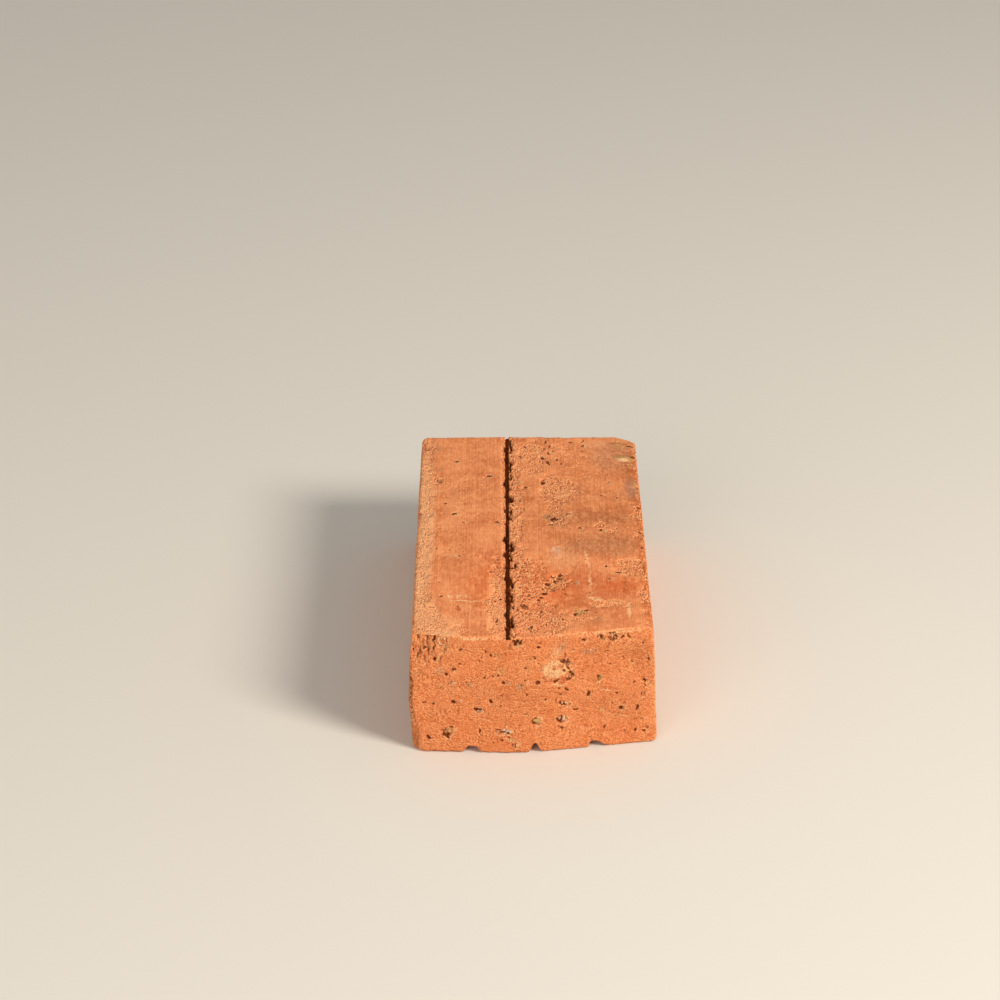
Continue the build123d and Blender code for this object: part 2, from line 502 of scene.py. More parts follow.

# Front end: pale, rubbed edge along the top, and brown painted shade down the left, on the chipped facet at
# the lower left and the end of the left face
scratch("front", (-34.0, 56.3), (-18.5, 56.1), 0.6, -0.15, cream, 0.9)
scratch("top", (-52.0, -107.0), (-34.0, -109.0), 1.2, -0.1, cream, 0.6, 1.0)
scratch("top", (-36.0, -109.2), (-19.0, -110.2), 0.5, -0.1, cream, 0.6, 0.4)
# Painted shade: brown over the chipped facet and the left face near the front
smear("front", (-54.6, 22.0), (1.7, 22.0), brown, 0.9)
smear("front", (-51.8, 8.0), (1.6, 9.0), brown, 0.8, 6)
smear("left", (-107.0, 28.0), (6.0, 30.0), brown, 0.9)

# Front end: stains, broad smears that are partly painted light and shade, and marks that the grit drew aslant,
# each a red groove with a pale ridge below it
for x_mid, z_mid, half_x, half_z, colour, strength, turn in (
    (10.0, 48.4, 3.2, 3.2, pale, 0.5, 0),
    (12.0, 32.9, 4.4, 0.8, pale, 0.75, 0),
    (12.8, 51.2, 2.4, 2.8, grey, 0.4, 0),
    (24.5, 48.6, 4.6, 1.6, grey, 0.35, 0),
    (-14.0, 40.6, 2.1, 2.2, straw, 0.45, 0),
    (-31.4, 26.1, 0.6, 0.8, white, 0.8, 0),
    (-5.4, 33.4, 1.8, 1.6, grey, 0.6, 0),
    (-9.7, 35.0, 1.6, 1.2, grey, 0.4, 0),
    (-40.3, 40.6, 2.6, 2.8, grey, 0.4, 0),
    # Broad smears: partly stains and partly painted shade and light, brown mostly over the right half and
    # ember over the left, evening out the lamp that lights the right half more
    (-0.5, 31.0, 17.0, 5.0, brown, 0.2, -16),
    (30.0, 22.0, 18.0, 4.0, brown, 0.15, -14),
    (38.0, 20.0, 18.0, 12.0, brown, 0.18, -14),
    (32.0, 50.0, 26.0, 7.0, brown, 0.22, -14),
    (49.0, 44.0, 10.0, 9.0, brown, 0.3, -14),
    (-2.0, 24.0, 16.0, 7.0, brown, 0.16, -14),
    (-26.0, 42.0, 14.0, 8.0, ember, 0.3, -14),
    (-30.0, 14.0, 16.0, 10.0, ember, 0.25, -14),
    (-47.5, 27.0, 4.5, 26.0, ember, 0.4, -14),
    (30.0, 5.0, 22.0, 4.0, ember, 0.25, -14),
    (-20.0, 30.0, 12.0, 4.0, plum, 0.16, -14),
):
    smear("front", (x_mid, z_mid), (half_x, half_z), colour, strength, turn)
for x_mid, z_mid, run, strength in (
    (33.0, 29.5, 15.0, 0.7),
    (14.0, 28.5, 16.0, 0.6),
    (38.0, 16.5, 13.0, 0.65),
    (22.0, 12.0, 16.0, 0.6),
    (30.0, 8.0, 14.0, 0.5),
    (-4.0, 26.0, 14.0, 0.5),
    (-22.0, 18.0, 15.0, 0.5),
    (-36.0, 34.0, 12.0, 0.5),
    (6.0, 8.5, 12.0, 0.5),
):
    drop = run * sin(radians(15)) / 2
    for lower, half_of_line, depth, colour, share in ((0, 0.45, 0.06, red, 1), (1.0, 0.4, -0.06, pale, 0.8)):
        start = (x_mid - run / 2, z_mid + drop - lower)
        end = (x_mid + run / 2, z_mid - drop - lower)
        scratch("front", start, end, half_of_line, depth, colour, share * strength)

# Top: patches where the skin tore away as the clay left the die. A row is x, y, half the width and length,
# how much is gone, and turn.
for x_mid, y_mid, half_x, half_y, amount, turn in (
    (-6.3, 0.0, 2.6, 112.0, 0.9, 0),
    (1.5, 84.0, 7.5, 24.0, 0.8, 0),
    (16.0, 92.0, 7.0, 14.0, 0.45, 0),
    (13.2, 46.0, 8.5, 18.0, 1.0, 0),
    (11.8, 17.0, 4.8, 13.0, 1.0, 0),
    (-1.0, -53.0, 8.0, 27.0, 0.8, 0),
    (9.4, -57.6, 3.6, 15.0, 1.0, -26),
    (3.5, -93.0, 12.5, 19.0, 1.0, 0),
    (46.0, -38.0, 9.0, 9.0, 0.9, 0),
    (52.0, -62.0, 3.2, 36.0, 0.9, 0),
    (52.0, 10.0, 3.0, 36.0, 0.8, 0),
    (34.0, 1.0, 4.5, 8.0, 0.8, 0),
    (33.5, -77.0, 11.0, 6.0, 0.6, 0),
    (22.0, -88.0, 6.0, 9.0, 0.6, 0),
    (-15.2, -72.0, 4.4, 42.0, 1.0, 0),
    (-45.0, -94.0, 7.0, 20.0, 0.8, 8),
    (-34.0, -104.0, 12.0, 6.0, 0.5, 0),
    (30.0, 72.0, 16.0, 22.0, 0.3, 0),
    (-28.0, 40.0, 16.0, 40.0, 0.22, 0),
    (-43.5, 56.0, 2.6, 5.0, 0.9, 0),
    (-20.0, 62.5, 2.2, 3.0, 0.6, 0),
):
    tear("top", (x_mid, y_mid), (half_x, half_y), amount, turn)

# Top: pits and crumbs. A row is x, y, half the width and length, depth, turn and stone.
for x_mid, y_mid, half_x, half_y, depth, turn, stone in (
    (-50.2, 95.5, 1.5, 2.4, 0.7, 0, red),
    (-43.4, 56.0, 1.5, 2.4, 0.6, 0, red),
    (-19.4, 62.5, 1.4, 2.0, 0.6, 0, pale),
    (-29.6, 21.5, 0.4, 0.6, 0.4, 0, None),
    (-39.3, -29.3, 0.4, 0.6, 0.4, 0, None),
    (-31.4, -29.3, 0.4, 0.6, 0.4, 0, None),
    (-18.0, -43.2, 0.9, 1.3, 0.8, 0, None),
    (-41.2, -55.0, 0.5, 0.8, 0.5, 0, None),
    (-24.8, -58.5, 0.4, 0.9, 0.4, 0, None),
    (-14.0, -72.0, 0.8, 1.2, 0.6, 0, None),
    (-15.6, -93.0, 0.7, 2.2, 0.5, 0, None),
    (-32.7, -81.8, 1.6, 2.2, 0.3, 0, red),
    (-3.7, 85.4, 0.8, 1.4, 0.5, 0, None),
    (-1.6, 97.5, 0.6, 3.0, 0.5, 0, None),
    (8.4, 103.0, 0.7, 2.4, 0.6, 10, None),
    (10.2, 98.0, 0.8, 2.2, 0.6, -10, None),
    (7.6, 95.0, 0.6, 2.0, 0.5, 0, None),
    (9.6, 89.0, 0.7, 2.4, 0.6, 10, None),
    (6.8, 84.0, 0.8, 2.2, 0.7, 0, None),
    (9.4, 78.0, 0.7, 3.4, 0.8, 8, None),
    (11.8, 92.0, 0.6, 1.6, 0.5, 0, None),
    (26.6, 105.0, 0.6, 2.6, 0.7, 0, None),
    (26.8, 98.5, 0.6, 2.2, 0.6, 0, None),
    (26.4, 92.0, 0.5, 2.2, 0.5, 0, None),
    (26.8, 85.0, 0.4, 2.6, 0.3, 0, None),
    (14.1, 81.5, 0.7, 1.4, 0.6, 0, None),
    (16.2, 77.0, 0.7, 1.8, 0.6, 20, None),
    (50.0, 97.6, 1.6, 1.0, 0.5, 0, None),
    (50.7, 84.4, 1.4, 0.9, 0.5, 0, None),
    (6.4, 54.8, 1.2, 2.6, 2.0, 0, None),
    (12.8, 59.5, 0.9, 1.8, 0.25, 0, None),
    (15.6, 60.5, 0.6, 1.6, 0.25, 0, None),
    (15.2, 47.5, 0.9, 2.0, 0.25, 0, None),
    (20.6, 52.0, 0.7, 4.0, 0.25, 0, None),
    (11.0, 43.0, 1.2, 1.6, 0.25, 0, crumb),
    (8.0, 36.0, 1.0, 1.6, 0.25, 0, crumb),
    (12.4, 33.0, 0.9, 1.5, 0.25, 0, None),
    (11.6, 12.6, 2.2, 3.4, 1.0, -20, crumb),
    (9.6, 7.0, 1.2, 1.6, 0.8, 0, None),
    (33.8, -38.0, 0.9, 1.3, 0.7, 0, None),
    (39.4, -44.6, 1.8, 1.3, 1.0, -8, None),
    (42.2, -45.0, 1.2, 1.2, 0.2, 0, pale),
    (14.4, -45.6, 1.4, 1.4, 0.9, 0, crumb),
    (7.2, -56.2, 1.2, 1.8, 0.9, 0, None),
    (12.8, -50.6, 1.2, 1.8, 0.8, 0, crumb),
    (9.6, -62.6, 1.0, 1.6, 0.8, 0, crumb),
    (7.6, -52.0, 0.9, 1.4, 0.8, 0, pale),
    (2.6, -73.0, 0.9, 1.6, 0.7, 0, None),
    (19.0, -86.4, 1.0, 1.6, 0.9, -30, None),
    (24.0, -82.0, 0.9, 1.4, 0.8, -30, None),
    (9.9, -49.0, 1.6, 1.8, 0.9, 0, crumb),
    (13.4, -47.4, 1.2, 1.6, 0.8, 0, None),
    (11.2, -54.0, 1.6, 2.2, 1.0, 0, crumb),
    (8.4, -59.6, 1.3, 2.0, 0.9, 0, crumb),
    (5.8, -66.0, 1.6, 1.8, 0.9, 0, None),
    (4.2, -70.0, 1.0, 1.6, 0.7, 0, None),
    (3.9, -84.4, 0.9, 1.6, 0.8, 0, None),
    (-3.2, -78.5, 2.0, 3.6, 0.4, 20, crumb),
    (-0.8, -100.6, 1.3, 3.8, 0.8, -6, crumb),
    (-1.2, -31.0, 0.9, 2.2, 0.4, 0, pale),
    (-3.4, -39.5, 0.9, 2.0, 0.4, 0, pale),
    (-2.6, -34.0, 0.6, 1.0, 0.5, 0, None),
    (33.2, 1.0, 1.6, 2.0, 0.6, 0, pale),
    (52.6, 42.0, 0.8, 1.4, 0.25, 0, None),
    (52.0, 26.0, 0.7, 1.4, 0.6, 0, None),
    (51.0, 8.0, 0.8, 1.4, 0.25, 0, None),
    (50.6, -2.0, 0.7, 1.2, 0.6, 0, None),
    (51.4, -18.0, 0.8, 1.4, 0.6, 0, None),
    (50.4, -80.0, 1.0, 2.2, 0.25, 0, crumb),
):
    pit("top", (x_mid, y_mid), (half_x, half_y), depth, turn, stone)

# Top: stains and pale marks. A row is x, y, half the width and length, colour, strength and turn.
for x_mid, y_mid, half_x, half_y, colour, strength, turn in (
    (22.0, 20.0, 32.0, 46.0, brown, 0.24, 0),
    (22.0, -66.0, 32.0, 44.0, red, 0.2, 0),
    (-4.0, -58.0, 34.0, 34.0, deep_orange, 0.5, 0),
    (34.0, -16.0, 25.0, 13.0, soot, 0.36, 0),
    (26.0, 13.5, 26.0, 10.0, soot, 0.22, 0),
    (40.0, 15.0, 14.0, 10.0, brown, 0.24, 0),
    (50.5, 60.0, 6.0, 46.0, brown, 0.56, 0),
    (52.0, -30.0, 3.6, 84.0, brown, 0.42, 0),
    (52.0, -66.0, 3.6, 40.0, deep_orange, 0.4, 0),
    (52.0, 0.0, 3.8, 112.0, deep_orange, 0.3, 0),
    (44.0, 0.0, 6.0, 60.0, brown, 0.14, 0),
    (0.0, -68.0, 14.0, 36.0, deep_orange, 0.22, 0),
    (-16.0, -40.0, 4.2, 12.0, deep_orange, 0.3, 0),
    (24.0, -78.0, 8.0, 34.0, brown, 0.16, 0),
    (40.0, 78.0, 13.0, 26.0, brown, 0.28, 0),
    # Along the upper left arris: worn pale, and also painted light that lifts the slope facing away from the
    # lamp
    (-50.5, -5.0, 6.5, 112.0, bright_peach, 0.75, 0),
    (-36.0, 20.0, 6.0, 40.0, pale, 0.16, 0),
    (39.0, 88.0, 12.0, 22.0, grey, 0.18, 0),
    (-40.0, -98.0, 12.0, 14.0, bright_peach, 0.3, 0),
    (-46.0, -88.0, 6.0, 22.0, bright_peach, 0.4, 0),
    (-42.0, -106.0, 12.0, 5.0, bright_peach, 0.5, 0),
    (-16.5, -70.0, 4.2, 34.0, ember, 0.55, 0),
    (-16.0, -78.0, 4.2, 40.0, peach, 0.85, 0),
    (1.0, -60.0, 11.0, 34.0, ember, 0.5, 0),
    (-7.0, -20.0, 2.4, 96.0, peach, 0.4, 0),
    (0.0, 90.0, 8.0, 16.0, peach, 0.3, 0),
    (-25.0, -20.0, 5.0, 8.0, red, 0.2, 0),
    (32.0, 101.0, 8.0, 5.0, pale, 0.2, 0),
    (-4.0, -101.0, 17.0, 9.0, ember, 0.45, 0),
    (13.5, 46.0, 8.0, 15.0, peach, 0.5, 0),
    # A pale band along the right of the front arris: worn pale and a painted highlight
    (37.0, -104.5, 15.0, 3.6, pale, 0.5, 10),
    (49.0, 48.0, 4.5, 14.0, grey, 0.3, 0),
    (9.0, 14.0, 3.0, 4.0, soot, 0.6, 0),
    (15.0, -32.0, 9.0, 14.0, pale, 0.22, 0),
    (12.0, -21.0, 2.8, 4.4, white, 0.4, 0),
    (46.0, 84.5, 6.5, 3.0, olive, 0.5, 0),
    (46.8, 81.6, 4.6, 2.4, cream, 0.9, 0),
    (50.6, 85.0, 2.0, 1.6, dark_clay, 0.9, 0),
    (45.5, 99.0, 8.5, 5.0, olive, 0.35, -8),
    (21.4, -84.0, 3.4, 3.2, olive, 0.9, -35),
    (9.0, -57.0, 2.6, 13.0, crumb, 0.5, -26),
    (30.5, -92.0, 5.0, 4.0, olive, 0.25, 0),
    (-4.4, 54.0, 1.0, 3.0, straw, 0.7, 0),
    (39.0, -58.0, 11.5, 12.5, deep_orange, 0.55, 0),
    (32.0, -60.0, 18.0, 15.0, red, 0.2, 0),
    (-17.5, -28.0, 4.8, 8.0, red, 0.34, 0),
    (-2.0, -44.0, 6.0, 14.0, red, 0.2, 0),
    (-44.0, 94.0, 4.5, 5.0, soot, 0.25, 0),
    (39.4, -44.6, 2.4, 1.5, dark_clay, 1.0, -8),
    (-24.5, 63.0, 6.0, 4.0, red, 0.22, 0),
):
    smear("top", (x_mid, y_mid), (half_x, half_y), colour, strength, turn)

# Top: scratches. A row is start, end, half the width, depth, colour, strength and how crumbly it is.
for start, end, half_of_line, depth, colour, strength, crumbly in (
    ((12.2, -15.5), (6.2, -27.0), 0.5, -0.1, pale, 0.6, 0.4),
    ((6.2, -27.0), (8.4, -38.0), 0.5, -0.1, pale, 0.6, 0.4),
    ((12.2, -15.5), (15.6, -20.0), 0.5, -0.1, pale, 0.6, 0.4),
    ((37.5, 103.8), (45.6, 100.7), 0.9, 0.1, brown, 0.8, 0),
    ((45.0, 101.0), (51.8, 95.5), 1.1, 0.1, dark_clay, 0.7, 0),
    ((38.0, 93.5), (50.9, 89.4), 0.9, 0.05, brown, 0.6, 0),
    ((-40.0, -73.2), (-19.0, -74.6), 0.6, 0.05, cream, 1.0, 0),
    ((-38.0, -70.0), (-28.0, -68.5), 0.6, 0.0, pale, 0.6, 0.6),
    ((-19.2, -76.0), (-19.2, -109.0), 0.4, 0.1, pale, 0.5, 0),
    ((-30.0, -76.0), (-30.4, -100.0), 0.3, 0.05, pale, 0.4, 0),
    ((25.0, -19.0), (26.4, -45.0), 0.8, 0.0, cream, 1.0, 0.5),
    ((26.4, -44.0), (26.6, -64.0), 0.7, 0.0, cream, 0.9, 0.5),
    ((23.5, -70.0), (33.4, -73.2), 1.4, -0.1, cream, 1.0, 0.6),
    ((32.6, -73.4), (42.8, -77.0), 1.3, -0.1, cream, 0.9, 0.6),
    ((42.3, -46.0), (41.3, -71.0), 0.5, 0.15, brown, 0.8, 0),
    ((42.4, -72.0), (43.0, -94.0), 1.1, -0.1, cream, 1.0, 0.4),
    ((-4.9, 48.0), (-4.2, 25.0), 0.5, -0.1, pale, 0.5, 0),
    ((19.8, 58.0), (27.0, 29.0), 0.4, 0.0, pale, 0.2, 0),
    ((11.5, 36.5), (16.0, 40.0), 0.8, -0.15, cream, 0.7, 0.6),
    ((15.5, 40.0), (21.5, 43.5), 0.7, -0.15, cream, 0.7, 0.6),
):
    scratch("top", start, end, half_of_line, depth, colour, strength, crumbly)
for x_mid in (-25.2, -24.0, -22.4, -20.8):
    scratch("top", (x_mid, -21.0), (x_mid, -35.0), 0.35, 0.15, red, 0.6)
for x_mid, lean in ((-37.4, 0.6), (-35.2, -0.8), (-33.4, 1.0), (-31.6, -0.6), (-29.8, 0.9)):
    scratch("top", (x_mid, -66.5), (x_mid + lean, -72.0), 0.45, 0.0, cream, 0.8)

# Pits and torn patches of the same kinds, strewn by chance: large and small ones on the faces that nothing
# has been placed on, and only small pits on the front and the top. A row is the face, where its marks start
# and end across and up, and how many pits and patches it has.
chance = np.random.default_rng(222)
for face, low, high, pits, patches in (
    ("left", (-104, 3), (106, 53), 95, 9),
    ("right", (-95, 3), (106, 53), 85, 7),
    ("back", (-50, 3), (50, 54), 85, 0),
    ("underside", (-50, -98), (50, 104), 120, 8),
    ("front", (-50, 3), (52, 55), 140, 0),
    ("top", (-50, -100), (50, 105), 170, 0),
):
    size_range = 0.7 if face in ("front", "top") else 1.5
    for _ in range(patches):
        middle = chance.uniform(low, high)
        tear(face, middle, chance.uniform((6, 4), (26, 10)), 0.9, chance.uniform(-10, 10))
    for _ in range(pits):
        middle = chance.uniform(low, high)
        size = 0.34 + size_range * chance.random() ** 3
        half = size * chance.uniform(0.6, 1.7, 2)
        stone = (None, crumb, crumb, pale, grey)[chance.integers(5)] if size > 0.55 else None
        pit(face, middle, half, 0.1 + 0.6 * size, chance.uniform(-40, 40), stone)

# Arrises: knocked and rubbed, most of all along the upper left. A row is the two faces, how far the wear
# reaches, how deep the chips are, and how much is rubbed pale.
# Along the front of the top the arris is rubbed pale; on the right, where its rounded edge faces the lamp, the
# pale is also a painted highlight
front_rub_and_highlight = 0.9 * rise(x, 6, 24) * rise(x, 56, 44) + 0.7 * rise(x, -19, -24) * rise(x, -42, -36)
edge_wander = ripple(5, 11)
edge_chips = rise(ripple(4.5, 12) + 0.4 * ripple(1.6, 13), 0.1, 0.8)
for faces, width, chips, rub in (
    (("top", "left"), 9.5, 0.6, 0.9),
    (("top", "right"), 2.6, 0.5, 0.12),
    (("top", "front"), 2.2, 0.5, front_rub_and_highlight),
    (("top", "back"), 2.5, 0.5, 0.2),
    (("front", "left"), 3.5, 0.8, 0.4),
    (("front", "right"), 2.4, 0.35, 0.45),
    (("back", "left"), 3.5, 0.7, 0.4),
    (("back", "right"), 3.5, 0.6, 0.4),
    (("underside", "left"), 3.0, 0.9, 0.3),
    (("underside", "right"), 2.4, 0.4, 0.3),
    (("underside", "front"), 1.8, 0.5, 0.2),
    (("underside", "back"), 3.0, 0.8, 0.3),
):
    from_edge = np.maximum(below[faces[0]], below[faces[1]]) + 0.25 * width * edge_wander
    close = rise(from_edge, width, 0.45 * width)
    sunk += chips * edge_chips * rise(from_edge, 0.6 * width, 0)
    torn = np.maximum(torn, close)
    worn = np.maximum(worn, rub * close)

# Slot: a left lip with nicks, and a right one that crumbled away as the clay left the die. Crumbs stand on
# its walls and dust lies in it. A row is where a nick is, how far it reaches out, and half its length.
slot_x = -10.4
slot_half = 1.3
crumb_height = 0.95
dust_depth = 2.2
nick_depth = 2.2
from_slot = np.abs(x - slot_x) - slot_half
on_left = x < slot_x
behind_skin = rise(below["front"], 0.6, 1.2)
nicked = np.zeros(len(points))
for y_mid, reach, half_y in (
    (96.0, 0.8, 3.4),
    (84.0, 0.5, 2.4),
    (55.7, 1.2, 4.6),
    (40.0, 0.5, 2.4),
    (24.0, 0.7, 3.4),
    (9.0, 0.5, 2.4),
    (-8.0, 1.3, 4.4),
    (-24.0, 1.3, 3.6),
    (-37.0, 0.5, 2.2),
    (-50.1, 1.0, 3.4),
    (-61.9, 0.8, 2.8),
    (-72.0, 0.5, 2.2),
    (-85.1, 0.9, 3.4),
    (-99.0, 0.5, 2.4),
):
    out_from_lip = np.maximum(slot_x - slot_half - ragged[:, 0], 0) / reach
    from_nick = np.hypot(out_from_lip, (ragged[:, 1] - y_mid) / half_y)
    nicked = np.maximum(nicked, on_left * rise(from_nick, 1.2, 0.7))
crumbs = ripple(1.9, 21, (0.7, 1.5, 1)) + 0.8 * ripple(1.2, 22, (0.8, 1.7, 1)) + 0.7 * ripple(5.5, 25)
crumbled_width = 1.0 + 1.3 * rise(y, 45, 15) + 0.8 * ripple(9, 27)
crumbled = ~on_left * rise(crumbs - 1.3 * from_slot / crumbled_width, -0.5, -0.1)
nicked = np.maximum(nicked, crumbled) * behind_skin * (from_slot > -0.7) * (from_slot < 3)
notch = np.clip(nick_depth * nicked - below["top"], 0, None)
# The nicks of the slot are painted dark: dirt and painted shade
hollow_dirt_and_shade = np.maximum(hollow_dirt_and_shade, rise(nicked, 0.35, 0.75) * (below["top"] < 3.0))
beside_slot = rise(from_slot, 2.6, 0.6) * (below["top"] < 1.0) * behind_skin
torn = np.maximum(torn, beside_slot)
worn = np.maximum(worn, beside_slot * rise(nicked, 0.3, 0.05) * np.where(on_left, 0.6, 1.0))
in_slot = rise(from_slot, 0.3, -0.2) * rise(below["top"], 0.4, 1.8) * (below["top"] < 7.5) * behind_skin
on_wall = (np.abs(outward[:, 0]) > 0.5) * (np.abs(from_slot) < 0.5) * (below["top"] < 7) * behind_skin
wall_crumbs = on_wall * rise(below["top"], 4.5, 1.5) * np.where(on_left, 0.35, 1.0) * rise(crumbs, 0.3, -0.5)
sunk -= crumb_height * wall_crumbs
dust = rise(ripple(3.2, 23, (1, 2, 1)) + 0.5 * ripple(1.2, 24), -0.5, 0.8)
sunk -= in_slot * (facing["top"] > 0.7) * dust_depth * dust
# The floor of the slot is painted dark, less where crumbs stand on its walls: dirt and painted shade
hollow_dirt_and_shade = np.maximum(hollow_dirt_and_shade, in_slot * (0.5 - 0.3 * dust)) * (1 - 0.7 * wall_crumbs)
# Umber dust in the slot, lighter than the dirt of the hollows: partly painted light that lifts the deep slot,
# where little light reaches
paint(np.arange(len(points)), 0.75 * in_slot, umber)
paint(np.arange(len(points)), 0.6 * wall_crumbs, crumb)
keep |= (np.abs(from_slot) < 3.0) & (below["top"] < 3.5)

# Relief: broad swellings all over, grit on the wire cuts, lumps where the skin is torn and faint lines
# where it is left. The points move along their own normals, and the nicks of the slot straight down.
skin = 1 - np.maximum(cut, torn)
sunk += 0.15 + 0.20 * ripple(30, 31) + 0.10 * ripple(9, 32)
sunk += cut * (0.20 + 0.13 * ripple(2.4, 33) + 0.14 * ripple(1.2, 34))
lumps = ripple(2.0, 36) + 0.7 * ripple(1.1, 37)
sunk += torn * (1 - cut) * (0.25 + 0.2 * lumps)
sunk += skin * 0.03 * ripple(2.2, 35, (1, 8, 1))
sunk += pitted
moved = points - outward * sunk[:, None]
moved[:, 2] -= notch
brick.data.vertices.foreach_set("co", (moved * mm).astype(np.float32).ravel())
for name, values in (("cut", cut), ("torn", torn), ("worn", worn), ("hollow_dirt_and_shade", hollow_dirt_and_shade)):
    layer = brick.data.attributes.new(name, "FLOAT", "POINT")
    layer.data.foreach_set("value", np.clip(values, 0, 1).astype(np.float32))
tint_layer = brick.data.attributes.new("tint", "FLOAT_COLOR", "POINT")
tint_layer.data.foreach_set("color", tint.astype(np.float32).ravel())
brick.data.update()

# Fewer faces where the surface is plain, and nothing outside the box of the solid. Each face of the grid
# counts as two triangles.
face_limit = 192000
plain = brick.vertex_groups.new(name="plain")
plain.add(np.flatnonzero(~keep).tolist(), 1.0, "REPLACE")
thin = brick.modifiers.new("fewer faces", "DECIMATE")
thin.ratio = face_limit / (2 * len(brick.data.polygons))
thin.vertex_group = plain.name
thin.vertex_group_factor = 1.0
thin.use_collapse_triangulate = True
bpy.ops.object.modifier_apply(modifier=thin.name)
brick.vertex_groups.clear()
inset = 0.01 * mm
box_low, box_high = (np.array(corner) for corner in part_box("brick"))
boxed = np.empty(3 * len(brick.data.vertices), np.float32)
brick.data.vertices.foreach_get("co", boxed)
boxed = np.clip(boxed.reshape(-1, 3), box_low + inset, box_high - inset)
brick.data.vertices.foreach_set("co", boxed.astype(np.float32).ravel())
brick.data.update()
bpy.ops.object.shade_smooth()

# Fired clay: orange, mottled and gritty, duller and smoother where the skin is left, dark in holes and
# hollows, where dirt stays and shade is painted
clay = bpy.data.materials.new("fired_clay")
clay.use_nodes = True
tree = clay.node_tree
surface = tree.nodes["Principled BSDF"]


def noise(where, size, detail=2.0, roughness=0.5):
    """Noise in swellings of the given size in millimetres, from 0 to 1."""
    return add("TexNoise", where, None, 1 / size, detail, roughness)


def between(value, low, high, start=0.0, end=1.0):
    """Turns low to high into start to end."""
    return add("MapRange", value, low, high, start, end)


def blend(amount, under, over):
    """Lays one colour over another."""
    new = add("Mix", amount, data_type="RGBA", out=2)
    for place, colour in ((6, under), (7, over)):
        if isinstance(colour, bpy.types.NodeSocket):
            tree.links.new(colour, new.node.inputs[place])
        else:
            new.node.inputs[place].default_value = (*colour, 1)
    return new


def plus(first, second):
    """The sum of two values."""
    return add("Math", first, second, operation="ADD")


def minus(first, second):
    """The first value less the second."""
    return add("Math", first, second, operation="SUBTRACT")


def times(first, second):
    """The product of two values."""
    return add("Math", first, second, operation="MULTIPLY")


def larger(first, second):
    """The larger of two values."""
    return add("Math", first, second, operation="MAXIMUM")


def layer_of(name):
    """One of the layers that the mesh carries."""
    return add("Attribute", attribute_name=name, out=2)


# Patterns in millimetres, some of them drawn out along the brick by the die or aslant by the wire. The
# smallest cells are the grains.
in_metres = add("TexCoord", out=3)
where = add("Mapping", in_metres, None, None, (1000, 1000, 1000))
along_die = add("Mapping", in_metres, None, None, (1000, 9, 1000))
along_column = add("Mapping", in_metres, None, None, (1000, 450, 1000))
along_wire = add("Mapping", in_metres, None, (0, radians(17), 0), (110, 1000, 1000))

# Colours of the clay
clay_orange = srgb(227, 135, 81)
clay_light = srgb(246, 151, 96)
clay_red = srgb(216, 117, 63)
skin_orange = srgb(225, 140, 87)
skin_dull = srgb(199, 114, 66)
# Dark brown for holes and hollows: dirt and painted shade
dirt_and_shade_brown = srgb(92, 32, 0)
pale_grain = srgb(255, 171, 112)
dark_grain = srgb(172, 66, 12)

# Where the skin is broken, with a ragged edge
cut_layer = layer_of("cut")
torn_layer = larger(layer_of("torn"), cut_layer)
broad = noise(where, 14, 3)
mottle = noise(where, 4.0, 3, 0.6)
grain = noise(along_column, 0.8, 3, 0.65)
crumble = noise(along_column, 0.8, 1.5, 0.6)
die_lines = noise(along_die, 0.7, 3, 0.65)
drag = noise(along_wire, 1.4, 3, 0.6)
cells = add("TexVoronoi", along_column, None, 1 / 0.52, feature="F1").node
one_cell = add("SeparateColor", cells.outputs["Color"])
coarse_cells = add("TexVoronoi", along_column, None, 1 / 1.3, feature="F1").node
one_coarse_cell = add("SeparateColor", coarse_cells.outputs["Color"])
ragged_edge = plus(times(mottle, 1.3), times(grain, 1.1))
broken = between(plus(torn_layer, minus(ragged_edge, 1.2)), 0.3, 0.75)

# Raw clay where the skin is gone, duller skin where it is left, and the tints over both
raw = blend(between(broad, 0.3, 0.7), clay_red, clay_orange)
raw = blend(between(mottle, 0.4, 0.75, 0, 0.45), raw, clay_light)
# Torn clay away from the wire cuts is lighter: partly its own tone, partly painted light against the shade of
# its bumps under the slanting lamp
raw = blend(between(cut_layer, 1, 0, 0, 0.7), raw, clay_light)
raw = blend(times(between(drag, 0.5, 0.66), times(cut_layer, 0.7)), raw, clay_red)
skin_colour = blend(between(broad, 0.36, 0.64), skin_dull, skin_orange)
skin_colour = blend(between(die_lines, 0.45, 0.7, 0, 0.6), skin_colour, clay_light)
skin_colour = blend(between(die_lines, 0.42, 0.28, 0, 0.35), skin_colour, clay_red)
colour = blend(broken, skin_colour, raw)

tinted = add("Attribute", attribute_name="tint").node
tint_edge = between(tinted.outputs["Alpha"], 0, 0.15)
tint_amount = plus(tinted.outputs["Alpha"], times(minus(grain, 0.5), 1.1))
colour = blend(times(between(tint_amount, 0.1, 0.85), tint_edge), colour, tinted.outputs["Color"])
pale_crumbs = times(layer_of("worn"), between(noise(along_column, 0.8, 2, 0.7), 0.42, 0.58))
colour = blend(times(pale_crumbs, 0.6), colour, pale_grain)

# Each grain of the clay is a little paler or darker than the next, most of all where the skin is gone
small_share = between(cut_layer, 0, 1, 0.25, 0.7)
one_grain = plus(times(one_cell, small_share), between(grain, 0.25, 0.75, 0, 0.3))
one_grain = plus(one_grain, times(one_coarse_cell, minus(0.7, small_share)))
grain_strength = times(between(broken, 0, 1, 0.9, 1), between(cut_layer, 0, 1, 1, 0.95))
colour = blend(times(between(one_grain, 0.5, 1.0, 0, 0.65), grain_strength), colour, pale_grain)
colour = blend(times(between(one_grain, 0.5, 0.0, 0, 0.4), grain_strength), colour, dark_grain)
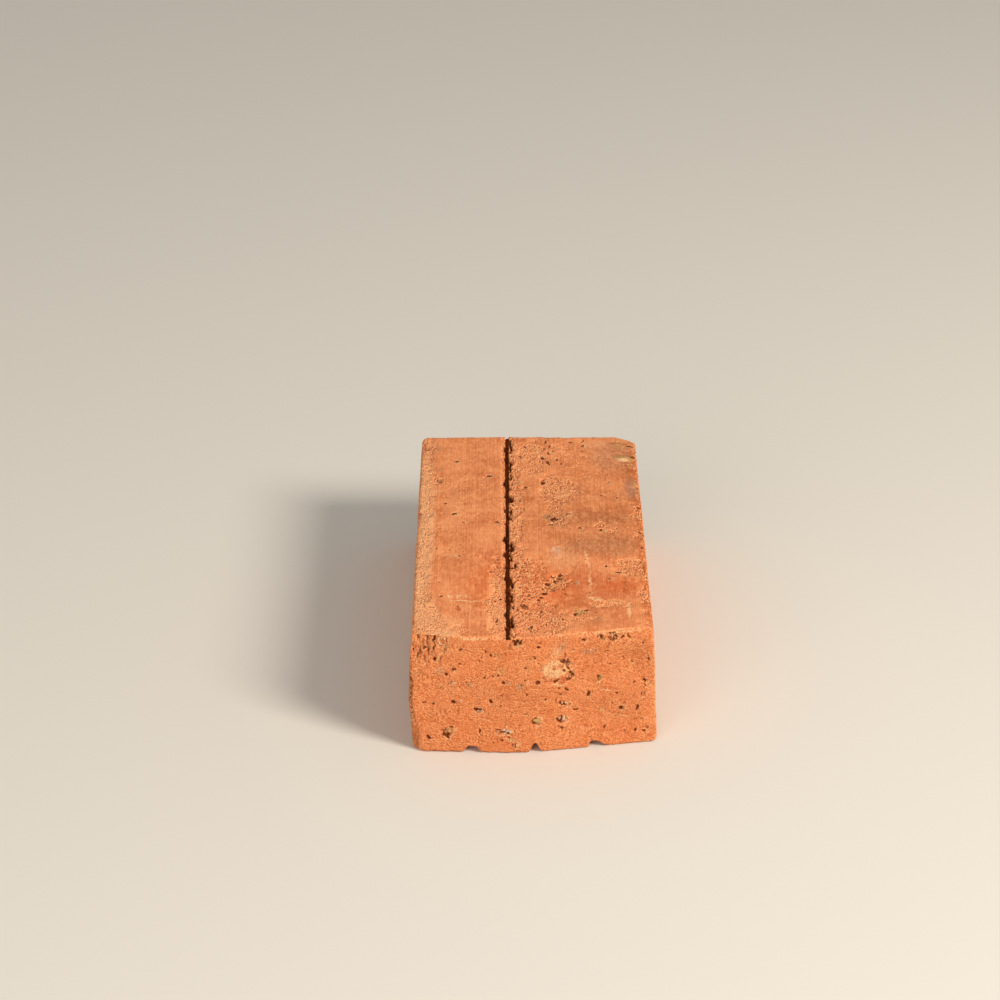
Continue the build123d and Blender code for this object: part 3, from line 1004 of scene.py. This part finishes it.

# Where the skin tore away the clay is crumbly: pale crumbs stand among small dark hollows. The pale sits on
# the bump's high crumbs and the dark in its low hollows, so both are partly painted light and painted shade.
patchy = between(noise(where, 7, 2), 0.4, 0.6, 0.35, 1.3)
crumbly = times(times(broken, patchy), between(cut_layer, 0, 1, 1.15, 0.36))
colour = blend(times(between(crumble, 0.48, 0.56, 0, 0.9), crumbly), colour, pale_grain)
dark_share = times(crumbly, between(layer_of("worn"), 0, 1, 1, 0.45))
colour = blend(times(between(crumble, 0.41, 0.34, 0, 1.0), dark_share), colour, dark_grain)

# Tiny holes and mounds, strewn among the grains, and dark brown in the holes and hollows: dirt and painted
# shade
holes = add("TexVoronoi", where, None, 1 / 1.9, feature="F1")
hole_size = add("SeparateColor", holes.node.outputs["Color"])
mound_size = between(add("SeparateColor", holes.node.outputs["Color"], out=1), 0.55, 1.0, 0.0, 0.34)
tiny_hole = add("Math", holes, between(hole_size, 0.45, 1.0, 0.0, 0.26), operation="LESS_THAN")
tiny_hole = times(tiny_hole, between(broken, 0, 1, 0.35, 1))
dirt_and_shade = larger(layer_of("hollow_dirt_and_shade"), times(tiny_hole, between(cut_layer, 0, 1, 0.7, 0.5)))
dirt_and_shade = between(plus(dirt_and_shade, times(minus(grain, 0.5), 0.6)), 0.3, 0.85)
colour = blend(times(dirt_and_shade, 0.9), colour, dirt_and_shade_brown)
tree.links.new(colour, surface.inputs["Base Color"])
surface.inputs["Roughness"].default_value = 0.88
surface.inputs["Specular IOR Level"].default_value = 0.12

# Relief finer than the grid, as heights in millimetres
rough_height = plus(times(grain, between(cut_layer, 0, 1, 1.2, 1.5)), times(cells.outputs["Distance"], -0.6))
rough_height = plus(rough_height, times(minus(crumble, 0.5), between(crumbly, 0, 1, 0, 0.9)))
rough_height = plus(rough_height, between(holes, mound_size, 0, 0, 0.3))
rough_height = minus(rough_height, times(tiny_hole, 0.35))
skin_height = plus(times(grain, 0.45), times(die_lines, 0.25))
rough_height = minus(rough_height, 0.5)
fine_relief = plus(times(rough_height, broken), times(skin_height, minus(1.0, broken)))
tree.links.new(add("Bump", 1.0, mm, None, fine_relief), surface.inputs["Normal"])

brick.data.materials.clear()
brick.data.materials.append(clay)
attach(brick, "root")
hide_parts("brick")
